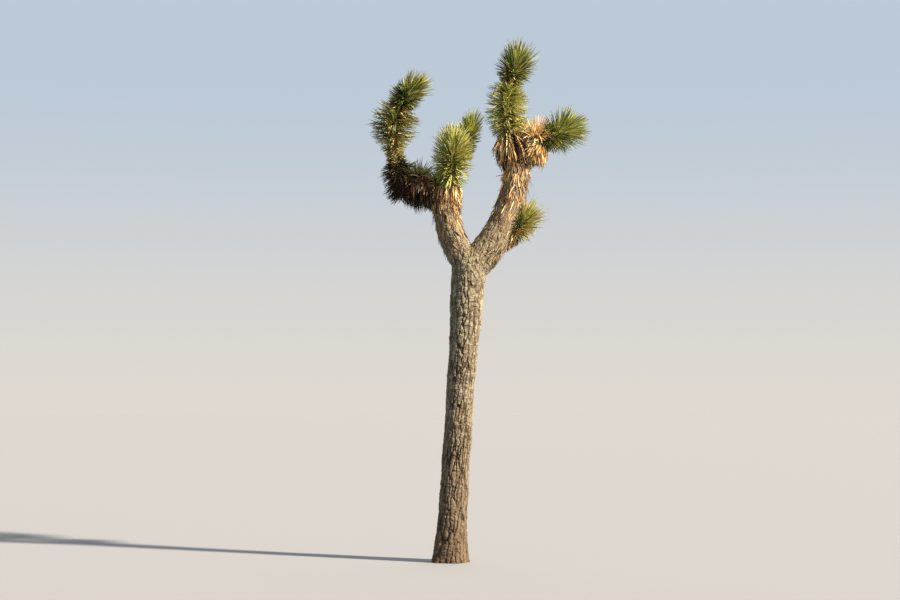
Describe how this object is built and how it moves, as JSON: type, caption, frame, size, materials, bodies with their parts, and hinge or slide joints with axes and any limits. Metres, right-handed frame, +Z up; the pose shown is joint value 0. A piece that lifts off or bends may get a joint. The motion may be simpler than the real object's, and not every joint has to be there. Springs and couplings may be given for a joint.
{
  "type": "joshua tree",
  "caption": "Whole tree with a tall bare trunk that forks low in the crown into curved boughs, each ending in shaggy dead leaves and round heads of stiff pointed leaves.",
  "frame": {"origin": "the middle of the flat cut under the trunk, at ground level", "axes": "+Z up, +X to the right and +Y away from a viewer who stands in front of the tree"},
  "size_m": [1.9581, 0.9911, 4.6175],
  "materials": {
    "bark": "rough corky bark, cracked into small plates",
    "dead_leaf": "matt, dry and fibrous",
    "live_leaf": "satin, waxy olive green"
  },
  "bodies": {
    "root": {"trunk": "bark", "left_bough_lower": "bark", "left_bough_upper": "bark", "right_bough_lower": "bark", "right_bough_upper": "bark", "left_arm": "bark", "twin_arm": "bark", "left_back_arm": "bark", "right_arm": "bark", "right_back_arm": "bark", "low_spur": "bark", "left_arm_thatch": "dead_leaf", "centre_thatch": "dead_leaf", "twin_thatch": "dead_leaf", "left_back_thatch": "dead_leaf", "right_thatch": "dead_leaf", "right_arm_thatch": "dead_leaf", "right_back_thatch": "dead_leaf", "low_spur_thatch": "dead_leaf", "left_elbow_leaves": "live_leaf", "left_middle_leaves": "live_leaf", "left_top_leaves": "live_leaf", "centre_leaves": "live_leaf", "twin_leaves": "live_leaf", "left_back_leaves": "live_leaf", "right_middle_leaves": "live_leaf", "right_top_leaves": "live_leaf", "right_side_leaves": "live_leaf", "right_back_leaves": "live_leaf", "low_spur_leaves": "live_leaf"}
  },
  "joints": []
}
